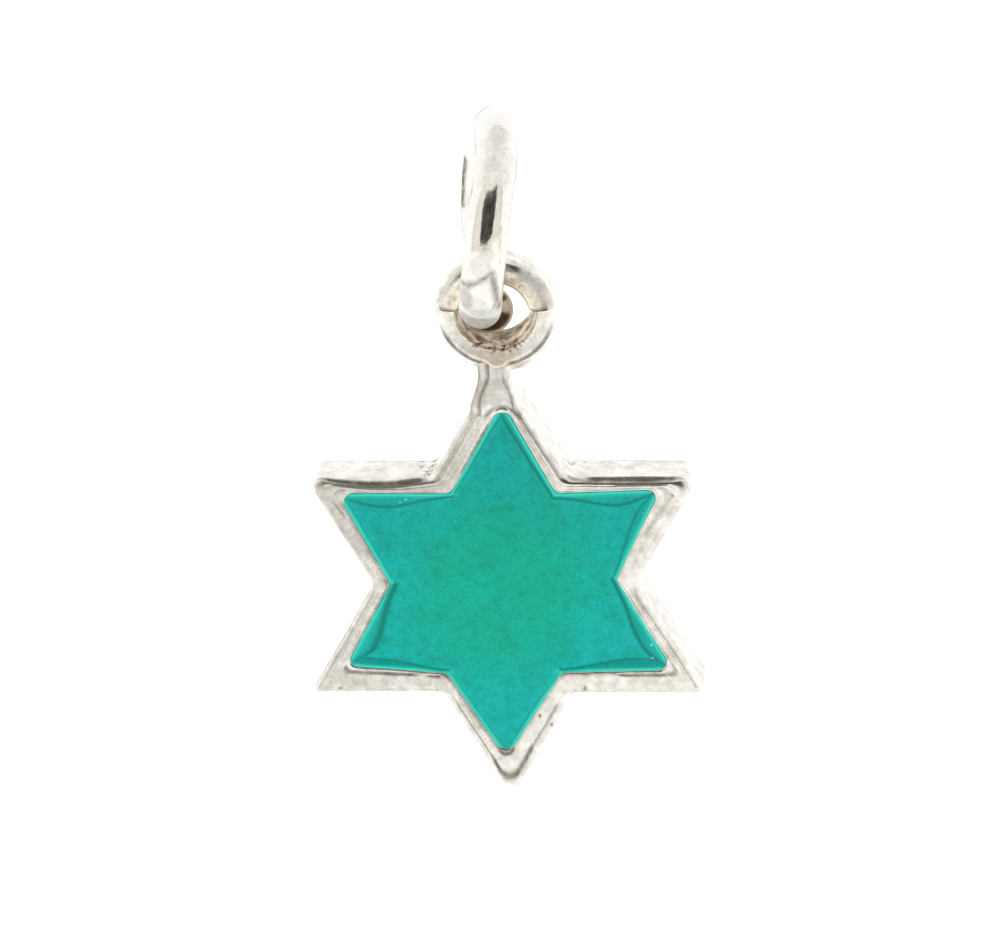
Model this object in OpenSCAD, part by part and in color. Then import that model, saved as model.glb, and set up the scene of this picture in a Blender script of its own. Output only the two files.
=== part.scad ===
// A small cast silver star pendant with an enamel front, hanging from a jump ring.
// Millimetres. The origin is the inner top of the jump ring, where a chain passes.
// +Z is up and the enamel faces -Y.

/* [Star] */
// Centre of the star to the sharp corner of a point
star_r = 6.15; // [5.5:0.05:8]
// Thickness of the setting from front to back
plate_t = 1.6; // [1.3:0.05:2.4]
// How far the softened front edge drops back
bevel_deep = 0.22; // [0.1:0.01:0.3]
// Width and depth of the softened back edge
back_edge = 0.15; // [0.05:0.01:0.25]

/* [Enamel] */
// Depth of the recess that holds the enamel
recess_deep = 0.7; // [0.4:0.05:0.9]
// Width and depth of the slope from the rim down to the enamel
lip = 0.08; // [0.03:0.01:0.12]
// How far the enamel lies below the rim
enamel_low = 0.06; // [0.02:0.01:0.12]
// Clearance between the enamel and the recess on every side
enamel_gap = 0.02; // [0.01:0.01:0.05]

/* [Neck] */
// Width of the neck between the star and the loop
neck_w = 0.98; // [0.8:0.02:1.1]
// Width that the neck spreads to under the loop
neck_flare_w = 2.9; // [2:0.05:2.9]
// How far the spreading part drops behind the front of the star
neck_drop = 0.2; // [0.05:0.01:0.3]
// How far below the loop's centre the spreading part ends
neck_under = 0.68; // [0.6:0.01:0.75]
// Radius of the neck's softened front and back edges
neck_edge = 0.3; // [0.15:0.01:0.35]
// Clear height between the sharp corner of the star's top point and the loop
neck_rise = 0.12; // [0.05:0.01:0.3]

/* [Loop] */
// Radius of the opening at its narrowest
hole_r = 0.96; // [0.9:0.01:1.05]
// Radius of the opening where it widens at the front and the back
mouth_r = 1.1; // [1.08:0.01:1.15]
// Depth of the slope from the opening's mouth to its narrowest, at the front
mouth_front = 0.5; // [0.3:0.05:0.6]
// Depth of the slope from the opening's mouth to its narrowest, at the back
mouth_back = 0.4; // [0.3:0.05:0.45]
// Outer radius of the loop
loop_r = 1.62; // [1.6:0.01:1.8]
// Width of the softened front edge of the loop
loop_bevel = 0.2; // [0.1:0.01:0.25]
// How far the lower half reaches behind the middle of the star
loop_back = 0.3; // [0.25:0.05:0.4]
// Thickness of the loop's upper half from front to back
arch_t = 1.0; // [0.8:0.05:1.1]
// How far the upper half stands out in front of the star
arch_proud = 0.5; // [0.3:0.05:0.6]
// Radius of the upper half's rounded edges
arch_edge = 0.25; // [0.15:0.01:0.3]

/* [Jump ring] */
// Diameter of the wire
wire_d = 1.16; // [1:0.01:1.2]
// Outside diameter of the ring
ring_od = 6.1; // [5.9:0.05:7]
// Clearance left between the wire and the loop
hang_gap = 0.06; // [0.05:0.01:0.08]
// Turn of the wire to the left of the top of the opening, in degrees
hang_turn = 56; // [0:1:60]
// Lean of the ring to the right, in degrees
ring_lean = 5; // [0:0.5:6]
// Turn of the ring about its own upright, in degrees
ring_yaw = 6; // [0:0.5:7]
// Width of the cut where the ring closes
seam_gap = 0.05; // [0.02:0.01:0.1]
// Place of the cut in front of the ring's lowest point, in degrees
seam_at = 32; // [20:1:40]

/* [Hidden] */
// Straight edges of the star, counter-clockwise from the left of the top point.
// Columns: direction faced, bevel width, rim width, slant of the rim's inner edge,
// radius of the outer corner that follows, radius of the enamel's corner there.
EDGES = [
  [150, 0.24, 0.51, 0.6, 0.35, 0.30],
  [90, 0.14, 0.45, -0.2, 0.18, 0.12],
  [210, 0.14, 0.46, -2.7, 0.30, 0.12],
  [150, 0.16, 0.40, 1.7, 0.08, 0.18],
  [270, 0.10, 0.66, -4.2, 0.15, 0.35],
  [210, 0.20, 0.44, 1.8, 0.32, 0.25],
  [330, 0.24, 0.61, -2.5, 0.30, 0.30],
  [270, 0.10, 0.59, 1.3, 0.08, 0.18],
  [30, 0.16, 0.38, -0.2, 0.20, 0.15],
  [330, 0.20, 0.59, 4.3, 0.15, 0.18],
  [90, 0.14, 0.37, 2.2, 0.35, 0.35],
  [30, 0.24, 0.44, -2.4, 0.12, 0.25]
];
FACES = 0;
BEVEL = 1;
RIM = 2;
SLANT = 3;
OUTER_ROUND = 4;
ENAMEL_ROUND = 5;

// Straight steps in each rounded corner or edge
CORNER_STEPS = 5;
BEVEL_STEPS = 3;
NECK_STEPS = 2;
ARCH_STEPS = 3;
// Segments of the round forms in a mesh
LOOP_FN = 96;
WIRE_FN = 48;
// Height above the level of the loop's centre where the two halves lap, in degrees
ARCH_START = 4;
CUP_END = 6;
// Levels in the neck, and the power by which it spreads
NECK_LEVELS = 7;
NECK_CURVE = 2.6;

front = plate_t / 2;
edge_h = star_r / 2;
mid_edge = star_r / sqrt(3);
wire_r = wire_d / 2;
ring_r = ring_od / 2 - wire_r;
arch_mid = front + arch_proud - arch_t / 2;
arch_r = (hole_r + loop_r) / 2;
loop_z = star_r + neck_rise + loop_r;
neck_top = loop_z - neck_under;

// The middle of the wire where it passes under the loop, from the star's centre
hang_r = hole_r - wire_r - hang_gap;
pivot = [-hang_r * sin(hang_turn), -arch_mid, loop_z + hang_r * cos(hang_turn)];
ring_up = [sin(ring_lean), 0, cos(ring_lean)];
seat = pivot + (2 * ring_r - wire_r) * ring_up;

// Unit vector at an angle
function heading(a) = [cos(a), sin(a)];

// Where two edges meet, each given by the direction it faces and its distance
function meet(a, ha, b, hb) =
  [ha * sin(b) - hb * sin(a), hb * cos(a) - ha * cos(b)] / sin(b - a);

// Turn from one direction to the next, from -180 to 180
function turn(a, b) = (b - a + 540) % 360 - 180;

// Points round the corner of two edges, the radius counted inwards at a tip
function corner(a, ha, b, hb, r) =
  let (
    t = turn(a, b),
    s = r * sign(t),
    c = meet(a, ha - s, b, hb - s)
  )
  [for (k = [0 : CORNER_STEPS]) c + s * heading(a + t * k / CORNER_STEPS)];

// Edge i turned by its slant about its own middle: direction and distance
function slanted(i, inset) =
  let (
    a = EDGES[i][FACES],
    mid = (edge_h - inset) * heading(a) + (i % 2 == 0 ? -1 : 1) * mid_edge * heading(a + 90),
    b = a + EDGES[i][SLANT]
  )
  [b, mid * heading(b)];

// Outer outline, its edges drawn in by a part of their bevel width
function outline(part) = [
  for (i = [0 : 11])
    let (e = EDGES[i], n = EDGES[(i + 1) % 12])
    each corner(e[FACES], edge_h - part * e[BEVEL], n[FACES], edge_h - part * n[BEVEL],
      e[OUTER_ROUND])
];

// Outer outline drawn in by one distance all round
function outline_in(d) = [
  for (i = [0 : 11])
    let (e = EDGES[i], n = EDGES[(i + 1) % 12])
    each corner(e[FACES], edge_h - d, n[FACES], edge_h - d, e[OUTER_ROUND])
];

// Outline of the enamel, grown by a distance
function enamel_outline(grow) = [
  for (i = [0 : 11])
    let (
      j = (i + 1) % 12,
      e = slanted(i, EDGES[i][RIM] - grow),
      n = slanted(j, EDGES[j][RIM] - grow)
    )
    each corner(e[0], e[1], n[0], n[1], EDGES[i][ENAMEL_ROUND])
];

function at_height(points, z) = [for (p = points) [p.x, p.y, z]];

// Rectangle with rounded corners about a middle, as a list of points
function soft_box(mid, half, r, steps) = [
  for (q = [0 : 3])
    let (c = mid + [(q == 0 || q == 3 ? 1 : -1) * (half.x - r), (q < 2 ? 1 : -1) * (half.y - r)])
    for (k = [0 : steps]) c + r * heading(90 * (q + k / steps))
];

// A closed skin through a stack of rings with equal numbers of points
module skin(rings, first, last) {
  n = len(rings[0]);
  m = len(rings);
  sides = [
    for (j = [0 : m - 2])
      for (i = [0 : n - 1])
        let (a = j * n + i, b = j * n + (i + 1) % n)
        each [[a, a + n, b], [b, a + n, b + n]]
  ];
  foot = [for (i = [0 : n - 1]) [m * n, i, (i + 1) % n]];
  head = [for (i = [0 : n - 1]) [m * n + 1, (m - 1) * n + (i + 1) % n, (m - 1) * n + i]];
  polyhedron([each for (r = rings) r, first, last], concat(sides, foot, head));
}

// The star's tray: back, softened edges, rim and recess in one skin
module tray() {
  floor_z = front - recess_deep;
  skin(
    [
      at_height(outline_in(back_edge), -front),
      at_height(outline_in(0), back_edge - front),
      for (k = [0 : BEVEL_STEPS])
        let (a = 90 * k / BEVEL_STEPS)
        at_height(outline(1 - cos(a)), front - bevel_deep * (1 - sin(a))),
      at_height(enamel_outline(lip), front),
      at_height(enamel_outline(enamel_gap), front - lip),
      at_height(enamel_outline(enamel_gap), floor_z)
    ],
    [0, 0, -front],
    [0, 0, floor_z]
  );
}

// The neck: softened rectangles, straight where it leaves the star and spreading to the loop
module neck() {
  skin(
    [
      for (k = [-1 : NECK_LEVELS])
        let (
          u = max(k, 0) / NECK_LEVELS,
          spread = 1 - pow(1 - u, NECK_CURVE),
          w = neck_w + (neck_flare_w - neck_w) * spread,
          fore = front - neck_drop * spread,
          back = front + (loop_back - front) * u,
          y = star_r - (k < 0 ? neck_w : 0) + u * (neck_top - star_r),
          section = soft_box([0, (fore - back) / 2], [w / 2, (fore + back) / 2], neck_edge, NECK_STEPS)
        )
        [for (p = section) [-p.x, y, p.y]]
    ],
    [0, star_r - neck_w, 0],
    [0, neck_top, 0]
  );
}

// The opening's walls at the front, the middle and the back, as radius and depth
function mouth() = [
  [mouth_r, front],
  [hole_r, front - mouth_front],
  [hole_r, mouth_back - loop_back],
  [mouth_r, -loop_back]
];

// What the opening takes out of the neck
module opening() {
  rotate_extrude($fn = LOOP_FN)
    polygon(concat([[0, -plate_t], [0, plate_t], [mouth_r, plate_t]], mouth(), [[mouth_r, -plate_t]]));
}

// The lower half of the loop, flush with the front of the star
module cup() {
  rotate([0, 0, 180 - CUP_END])
    rotate_extrude(angle = 180 + 2 * CUP_END, $fn = LOOP_FN)
      polygon(concat(mouth(), [
        [loop_r - back_edge, -loop_back],
        [loop_r, back_edge - loop_back],
        [loop_r, front - bevel_deep],
        [loop_r - loop_bevel, front]
      ]));
}

// The upper half of the loop, a rounded bar that stands proud of the front
module arch() {
  rotate([0, 0, ARCH_START])
    rotate_extrude(angle = 180 - 2 * ARCH_START, $fn = LOOP_FN)
      polygon(soft_box([arch_r, arch_mid], [(loop_r - hole_r) / 2, arch_t / 2], arch_edge, ARCH_STEPS));
}

// Stands a shape that was drawn lying on its back upright, in the hanging frame
module hang() {
  translate(-seat)
    rotate([90, 0, 0])
      children();
}

module star_setting() {
  color([0.80, 0.78, 0.74])
    hang()
      union() {
        tray();
        difference() {
          neck();
          translate([0, loop_z, 0]) opening();
        }
        translate([0, loop_z, 0]) cup();
        translate([0, loop_z, 0]) arch();
      }
}

module enamel_inlay() {
  color([0.13, 0.68, 0.60])
    hang()
      translate([0, 0, front - recess_deep + enamel_gap])
        linear_extrude(recess_deep - enamel_gap - enamel_low)
          polygon(enamel_outline(0));
}

module jump_ring() {
  cut = seam_gap / ring_r * 180 / PI;
  color([0.84, 0.83, 0.80])
    translate(pivot - seat)
      rotate([0, ring_lean, 0])
        rotate([0, 0, ring_yaw])
          translate([0, 0, ring_r])
            rotate([0, -90, 0])
              rotate([0, 0, 180 - seam_at + cut / 2])
                rotate_extrude(angle = 360 - cut, $fn = LOOP_FN)
                  translate([ring_r, 0])
                    circle(wire_r, $fn = WIRE_FN);
}

star_setting();
enamel_inlay();
jump_ring();
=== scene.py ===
import math

import bpy
import numpy as np
from bpy.props import FloatProperty, FloatVectorProperty, PointerProperty
from mathutils import Matrix, Vector, kdtree, noise


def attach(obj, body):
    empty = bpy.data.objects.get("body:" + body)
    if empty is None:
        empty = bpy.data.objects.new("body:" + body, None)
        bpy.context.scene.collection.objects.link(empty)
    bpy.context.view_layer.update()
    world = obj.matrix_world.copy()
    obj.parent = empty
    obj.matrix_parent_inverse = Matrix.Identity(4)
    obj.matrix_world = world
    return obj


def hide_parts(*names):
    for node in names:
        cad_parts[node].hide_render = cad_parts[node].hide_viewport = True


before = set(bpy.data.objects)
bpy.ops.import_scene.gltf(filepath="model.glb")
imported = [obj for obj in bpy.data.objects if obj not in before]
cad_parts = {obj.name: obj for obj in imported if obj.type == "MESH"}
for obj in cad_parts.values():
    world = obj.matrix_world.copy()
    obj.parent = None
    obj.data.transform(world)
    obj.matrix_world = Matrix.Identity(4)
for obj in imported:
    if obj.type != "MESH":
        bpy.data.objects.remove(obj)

bl_info = {
    "name": "Enamelled star pendant",
    "version": (1, 0, 0),
    "blender": (4, 5, 0),
    "location": "View3D > Sidebar > Pendant",
    "description": "Dresses a small cast silver star pendant with its enamel and jump ring",
    "category": "Add Mesh",
}

MM = 0.001

# Straight edges of the star, counter-clockwise from the left of the top point.
# Columns: direction faced, bevel width, rim width, slant of the rim's inner edge,
# radius of the outer corner that follows, radius of the enamel's corner there,
# sag of the bevel's inner line, shift outwards, painted shade on the recess's lip.
STAR_EDGES = (
    (150, 0.26, 0.57, 0.6, 0.35, 0.30, 0.00, 0.09, 0.45),
    (90, 0.14, 0.45, -0.2, 0.26, 0.26, 0.15, 0.00, 0.05),
    (210, 0.14, 0.55, -2.7, 0.65, 0.12, 0.00, 0.00, 0.10),
    (150, 0.17, 0.47, 1.7, 0.08, 0.20, 0.00, 0.00, 0.35),
    (270, 0.08, 0.72, -4.2, 0.35, 0.35, 0.00, 0.04, 0.40),
    (210, 0.20, 0.49, 1.8, 0.26, 0.30, 0.00, 0.03, 0.20),
    (330, 0.24, 0.66, -2.5, 0.35, 0.32, 0.00, 0.03, 0.20),
    (270, 0.08, 0.65, 1.3, 0.08, 0.26, 0.00, 0.04, 0.40),
    (30, 0.16, 0.42, -1.2, 0.55, 0.15, 0.00, 0.00, 0.30),
    (330, 0.18, 0.71, 4.3, 0.30, 0.22, 0.00, 0.00, 0.10),
    (90, 0.16, 0.37, 2.2, 0.35, 0.35, 0.02, 0.00, 0.05),
    (30, 0.22, 0.43, -2.4, 0.12, 0.26, 0.00, 0.00, 0.20),
)
FACES, BEVEL, RIM, SLANT, OUTER_ROUND, ENAMEL_ROUND, SAG, SHIFT, LIP_DARK = range(9)

# Dark lines on the star's front: painted dark reflections on bevels, painted shade along the
# outline, creases in the rim.
# A station counts the edges, with each corner from a tenth before its whole number to a
# tenth after. A place is 0 at the enamel, 1 at the end of the flat rim, 2 at the outline.
# Columns: first and last station, place at the start, middle and end, width, darkness.
CREASE_AND_SHADE_LINES = (
    # The first two rows are painted dark reflections on the bevels atop the upper arms.
    (1.06, 1.96, 1.62, 1.50, 1.66, 0.33, 1.28),
    (10.06, 10.84, 1.72, 1.74, 1.74, 0.40, 1.35),
    (10.72, 11.02, 1.35, 1.60, 1.95, 0.16, 0.70),
    (1.10, 1.92, 0.30, 0.35, 0.30, 0.12, 0.30),
    (1.84, 2.28, 0.30, 0.42, 0.25, 0.12, 0.55),
    (2.02, 2.98, 1.66, 1.66, 1.66, 0.14, 0.75),
    (2.15, 2.80, 0.70, 0.60, 0.75, 0.20, 0.22),
    (2.85, 3.10, 0.05, 0.15, 0.05, 0.20, 0.55),
    (3.04, 3.92, 0.03, 0.05, 0.03, 0.10, 0.60),
    (3.10, 3.95, 1.00, 1.05, 1.10, 0.10, 0.30),
    (2.98, 3.97, 1.90, 1.88, 1.90, 0.14, 0.60),
    (3.35, 3.95, 0.45, 0.35, 0.30, 0.22, 0.30),
    (3.92, 4.72, 0.12, 0.14, 0.12, 0.07, 0.85),
    (4.78, 4.92, 0.12, 0.12, 0.12, 0.07, 0.70),
    (3.98, 4.80, 1.38, 1.38, 1.38, 0.20, 0.70),
    (4.70, 5.95, 1.74, 1.74, 1.74, 0.12, 0.70),
    (5.08, 5.90, 1.02, 1.00, 1.05, 0.08, 0.60),
    (5.70, 6.42, 1.04, 1.06, 1.04, 0.22, 0.85),
    (5.90, 6.10, 0.00, 0.05, 0.00, 0.07, 0.85),
    (6.35, 6.85, 1.05, 1.05, 1.10, 0.12, 0.60),
    (6.02, 6.98, 1.88, 1.88, 1.88, 0.10, 0.60),
    (6.98, 8.02, 1.38, 1.38, 1.38, 0.22, 0.80),
    (7.50, 7.95, 0.10, 0.13, 0.10, 0.08, 0.80),
    (7.92, 8.12, 0.10, 0.25, 0.12, 0.12, 0.55),
    (8.05, 8.95, 0.12, 0.10, 0.10, 0.07, 0.60),
    (8.15, 8.90, 0.42, 0.40, 0.42, 0.07, 0.30),
    (9.02, 9.96, 1.86, 1.84, 1.84, 0.16, 0.85),
    (9.50, 10.14, 0.20, 0.48, 0.40, 0.20, 0.42),
    (9.15, 9.60, 0.55, 0.50, 0.45, 0.26, 0.20),
    (10.10, 10.95, 0.35, 0.40, 0.40, 0.10, 0.32),
    (11.05, 11.90, 0.22, 0.28, 0.22, 0.08, 0.50),
    (11.02, 11.80, 0.45, 0.50, 0.45, 0.08, 0.40),
    (11.10, 11.85, 0.80, 0.78, 0.80, 0.20, 0.30),
    (11.02, 11.90, 1.20, 1.15, 1.20, 0.12, 0.55),
    (11.89, 11.985, 1.04, 1.04, 1.04, 0.14, 0.85),
    (0.015, 0.11, 1.04, 1.04, 1.04, 0.14, 0.90),
    (0.02, 0.11, 1.70, 1.62, 1.70, 0.18, 0.70),
    (0.08, 0.95, 1.05, 1.10, 1.05, 0.10, 0.42),
    (0.10, 0.90, 0.55, 0.45, 0.60, 0.10, 0.26),
    (0.12, 0.80, 0.02, 0.02, 0.02, 0.07, 0.75),
    (0.10, 0.95, 1.88, 1.88, 1.88, 0.14, 0.35),
    (0.05, 0.95, 1.45, 1.50, 1.45, 0.50, 0.22),
)

# The neck from the star's top point to the loop. It may not widen again above its waist,
# or the fans of faces that close the star's back and front would cross its outline.
# Columns: height above the star's centre, half width, half width of its flat front.
NECK = (
    (4.90, 0.80, 0.50),
    (5.20, 0.655, 0.43),
    (5.36, 0.60, 0.41),
    (5.60, 0.515, 0.34),
    (5.86, 0.455, 0.22),
    (6.00, 0.445, 0.17),
    (6.10, 0.445, 0.150),
    (6.24, 0.450, 0.155),
    (6.60, 0.480, 0.200),
)
NECK_SHIFT = -0.115

# The loop's lower half from its left end round the bottom to its right end.
# Columns: angle, outer radius behind the bevel, radius of the throat.
CUP = (
    (172, 1.63, 0.96),
    (190, 1.63, 0.95),
    (204, 1.68, 0.92),
    (218, 1.80, 0.88),
    (232, 1.90, 0.86),
    (248, 1.95, 0.86),
    (270, 1.93, 0.86),
    (292, 1.94, 0.86),
    (308, 1.87, 0.86),
    (322, 1.76, 0.88),
    (336, 1.68, 0.92),
    (350, 1.63, 0.95),
    (368, 1.63, 0.96),
)

# How the jump ring's wire strays sideways, as the two halves of a bent ring do.
# Columns: angle from the lowest point towards the front, shift to the right.
RING_DRIFT = (
    (32, -0.18),
    (60, -0.205),
    (80, -0.195),
    (103, -0.17),
    (120, -0.10),
    (138, -0.01),
    (180, -0.03),
    (220, -0.10),
    (255, -0.17),
    (290, -0.13),
    (318, -0.03),
    (334, 0.035),
    (350, 0.035),
    (364, 0.03),
    (392, 0.05),
)

# Spots of painted shade on the jump ring.
# Columns: angle round the ring from its lowest point towards the front, angle round the
# wire from its outer side to the right, half sizes of the spot, darkness.
RING_SHADE_SPOTS = (
    (85, -12, 6.5, 30, 0.20),
    (58, -14, 8.0, 34, 0.22),
    (61, -50, 9.0, 28, 0.46),
    (91, 4, 6.0, 18, 0.16),
    (41, -10, 8.0, 60, 0.45),
    (135, 4, 16.0, 42, 0.10),
    (158, 8, 8.0, 30, 0.16),
)

# Dark strokes on the jump ring: painted shade along its outlines, a painted dark reflection down
# its back half, and other dark bands and marks.
# Columns: where it starts round the ring and round the wire, where it ends, width, darkness.
RING_STROKES = (
    # Dark bands across the front
    (69, -78, 71.5, -42, 0.13, 0.72),
    (71.5, -42, 81, 18, 0.105, 0.66),
    (81, 20, 66, 42, 0.13, 0.72),
    (66, 42, 53, 58, 0.12, 0.76),
    # Painted shade along the left outline
    (122, -70, 134, -76, 0.04, 0.70),
    (134, -76, 174, -66, 0.025, 0.40),
    # Short dark marks across the wire
    (108, 36, 86, 44, 0.03, 0.40),
    (150, -4, 149, 30, 0.035, 0.32),
    (156, -6, 156, 26, 0.025, 0.28),
    (163, -8, 162, 22, 0.025, 0.32),
    # Painted shade along the top outline
    (185, -64, 196, 0, 0.20, 0.42),
    (196, 0, 204, 64, 0.20, 0.42),
    # Painted shade along the right outline
    (48, 72, 100, 79, 0.075, 0.42),
    (100, 79, 160, 75, 0.100, 0.52),
    (160, 76, 190, 70, 0.080, 0.42),
    # Painted shade along the left outline
    (52, -80, 130, -84, 0.080, 0.42),
    (130, -84, 176, -76, 0.080, 0.42),
    # A painted dark reflection down the back half
    (245, -114, 281, -112, 0.130, 1.00),
    (281, -108, 300, -104, 0.04, 0.55),
)

# The jump ring's two ends: the first is rounded, and the other is cut off and spread.
# Columns: share of the wire's size, shift onwards, and at the cut how much painted shade shows.
RING_START = ((0.84, 0.000), (0.92, 0.010), (0.97, 0.025), (0.99, 0.05))
RING_CUT = (
    (1.04, -0.10, 0.02),
    (1.10, -0.05, 0.02),
    (1.14, -0.01, 0.0),
    (1.14, 0.005, 0.0),
    (1.08, 0.012, 0.0),
    (1.00, 0.003, 0.8),
    (0.90, -0.01, 1.0),
    (0.80, -0.01, 1.0),
    (0.68, 0.0, 1.0),
    (0.55, 0.0, 1.0),
    (0.40, 0.0, 1.0),
    (0.25, 0.0, 1.0),
)

# Pits left by the casting: place from the star's centre, size and depth.
PITS = (
    (1.15, -4.05, 0.05, 0.03),
    (0.85, -3.75, 0.04, 0.02),
    (-0.35, -4.55, 0.04, 0.02),
    (-1.55, 3.95, 0.03, 0.02),
    (-1.05, 5.05, 0.05, 0.02),
    (2.10, -2.95, 0.04, 0.02),
    (-4.55, -2.95, 0.04, 0.02),
    (4.62, 2.62, 0.04, 0.02),
)

# How far above the enamel's top the groove round it runs.
TOP_GROOVE = 0.26

# Rough spots on the upward sides in the two upper notches.
# Columns: place across and up from the star's centre, place in depth, radius, darkness.
ROUGH_SPOTS = (
    (-2.02, 3.10, 0.48, 0.13, 1.0),
    (-1.99, 3.10, 0.18, 0.14, 1.0),
    (-1.94, 3.12, -0.15, 0.15, 1.0),
    (-1.90, 3.14, -0.50, 0.12, 0.9),
    (-2.25, 3.10, -0.20, 0.10, 0.7),
    (-2.22, 3.10, -0.62, 0.10, 0.6),
    (1.66, 3.32, -0.05, 0.09, 0.9),
    (1.80, 3.16, -0.25, 0.10, 0.8),
    (1.92, 3.12, -0.45, 0.09, 0.8),
    (1.62, 3.22, 0.40, 0.08, 0.7),
    (2.18, 3.10, -0.55, 0.09, 0.7),
)

# Points along each straight edge, round a corner, and up the neck and down again.
STRAIGHT_STEPS = 80
CORNER_STEPS = 14
TIP_STEPS = 150
NECK_STEPS = (TIP_STEPS - 20) // 2
TIP_AT = 11 * (CORNER_STEPS + STRAIGHT_STEPS)

# Rings of points across the rim and down the star's side.
RIM_STEPS = 18
SIDE_STEPS = 20

# Sections of the loop's two halves and of the jump ring, and points round its wire.
CUP_STEPS = 190
ARCH_STEPS = 150
ARCH_END_STEPS = 12
RING_STEPS = 300
WIRE_STEPS = 56

# Faces that meet at more degrees than this show a sharp edge.
SHARP_FROM = 40

# Tarnish and shade marks below zero mark the sides, where polishing leaves no clouds of wear.
CLEAN = -1.0


def mm_property(name, description, default):
    return FloatProperty(name=name, description=description, default=default * MM,
                         min=0.0, precision=5, unit="LENGTH")


def colour_property(name, description, default):
    return FloatVectorProperty(name=name, description=description, default=default,
                               min=0.0, max=1.0, size=3, subtype="COLOR")


def angle_property(name, description, degrees):
    return FloatProperty(name=name, description=description, default=math.radians(degrees),
                         subtype="ANGLE")


class SettingSizes(bpy.types.PropertyGroup):
    """Sizes of the cast silver setting, the same as the solid's"""

    star_r: mm_property("Star radius", "Centre of the star to the sharp corner of a point", 6.15)
    plate_t: mm_property("Thickness", "Setting from front to back", 1.6)
    bevel_deep: mm_property("Front edge drop", "How far the softened front edge drops back", 0.22)
    back_edge: mm_property("Back edge", "Width and depth of the softened back edge", 0.15)
    recess_deep: mm_property("Recess depth", "Depth of the recess for the enamel", 0.7)
    lip: mm_property("Lip", "Slope from the rim down to the enamel", 0.08)
    neck_rise: mm_property("Neck rise", "From the top point's sharp corner to the loop", 0.12)
    hole_r: mm_property("Opening radius", "The loop's opening at its narrowest", 0.96)
    mouth_r: mm_property("Mouth radius", "The loop's opening at the front", 1.095)
    loop_r: mm_property("Loop radius", "Outer radius of the loop", 1.62)
    loop_bevel: mm_property("Loop bevel", "Width of the loop's softened front edge", 0.2)
    loop_back: mm_property("Loop back", "Loop's lower half behind the star's middle", 0.3)
    arch_t: mm_property("Arch thickness", "Loop's upper half from front to back", 1.0)
    arch_proud: mm_property("Arch stands out", "Loop's upper half in front of the star", 0.5)


class EnamelSizes(bpy.types.PropertyGroup):
    """Sizes of the enamel"""

    low: mm_property("Below the rim", "How far the enamel lies below the rim", 0.06)
    gap: mm_property("Clearance", "Between the enamel and the recess", 0.02)
    climb: mm_property("Climb", "How far the enamel creeps up the recess's wall", 0.05)
    climb_w: mm_property("Climb width", "How wide the creeping edge is", 0.22)


class RingSizes(bpy.types.PropertyGroup):
    """Sizes and stance of the jump ring, the same as the solid's"""

    wire_d: mm_property("Wire", "Diameter of the wire", 1.16)
    ring_od: mm_property("Outside diameter", "Outside diameter of the ring", 6.1)
    hang_gap: mm_property("Hang gap", "Clearance between the wire and the loop", 0.06)
    seam_gap: mm_property("Seam", "Width of the cut where the ring closes", 0.05)
    hang_turn: angle_property("Hang turn", "Wire to the left of the opening's top", 56)
    lean: angle_property("Lean", "Lean of the ring to the right", 5)
    yaw: angle_property("Turn", "Turn of the ring about its own upright", 6)
    seam_at: angle_property("Seam place", "Cut in front of the ring's lowest point", 32)


class SilverFinish(bpy.types.PropertyGroup):
    """Colours of the polished silver"""

    bright: colour_property("Bright", "Freshly polished silver", (0.80, 0.785, 0.745))
    dull: colour_property("Dull", "Silver handled for years", (0.46, 0.425, 0.36))
    # The tarnish colour also paints shade and dark reflections on the silver.
    tarnish_and_shade: colour_property("Tarnish", "Silver darkened where polish doesn't reach",
                             (0.15, 0.130, 0.105))
    # The brown colour paints shade inside the loop and on the jump ring's cut face.
    brown: colour_property("Brown", "Silver browned inside the loop", (0.150, 0.105, 0.058))


class EnamelFinish(bpy.types.PropertyGroup):
    """Colours of the enamel"""

    teal: colour_property("Teal", "Main colour, in the middle", (0.005, 0.480, 0.342))
    green: colour_property("Green", "Greener clouds", (0.004, 0.400, 0.264))
    blue: colour_property("Blue", "Bluer colour in the arms", (0.006, 0.500, 0.472))
    # The line colour paints dark reflections just inside the enamel's edge
    line: colour_property("Line", "Darker line inside the edge", (0.003, 0.230, 0.195))
    # The edge colour paints a thin highlight along the enamel's edge
    edge: colour_property("Edge", "Brighter thin edge", (0.060, 0.840, 0.660))


class StageSettings(bpy.types.PropertyGroup):
    """Camera and floor"""

    azimuth: angle_property("Azimuth", "Camera's turn to the right of the front", 5.5)
    elevation: angle_property("Elevation", "Camera's height above the level", 20.5)
    roll: angle_property("Roll", "Camera's roll", 1.93)
    floor_colour: colour_property("Floor", "Pale floor", (0.93, 0.93, 0.925))


# Shapes are drawn lying on their back in millimetres: x right, y up, and depth
# counted towards the front from the middle of the star's thickness.


def heading(a):
    return np.array((math.cos(math.radians(a)), math.sin(math.radians(a))))


def meet(a, ha, b, hb):
    """Where two edges meet, each given by the direction it faces and its distance"""
    ra, rb = math.radians(a), math.radians(b)
    top = (ha * math.sin(rb) - hb * math.sin(ra), hb * math.cos(ra) - ha * math.cos(rb))
    return np.array(top) / math.sin(rb - ra)


def corner(a, ha, b, hb, r, steps):
    """Points round the corner of two edges"""
    t = (b - a + 540) % 360 - 180
    s = r * math.copysign(1, t)
    c = meet(a, ha - s, b, hb - s)
    return np.array([c + s * heading(a + t * k / steps) for k in range(steps + 1)])


def smooth(u):
    u = np.clip(u, 0, 1)
    return u * u * (3 - 2 * u)


def quarter(steps, first=0):
    """Angles of a quarter turn, in even steps"""
    return [math.radians(90 * k / steps) for k in range(first, steps + 1)]


def noise_at(x, y, z):
    return noise.noise(Vector((float(x), float(y), float(z))))


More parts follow.
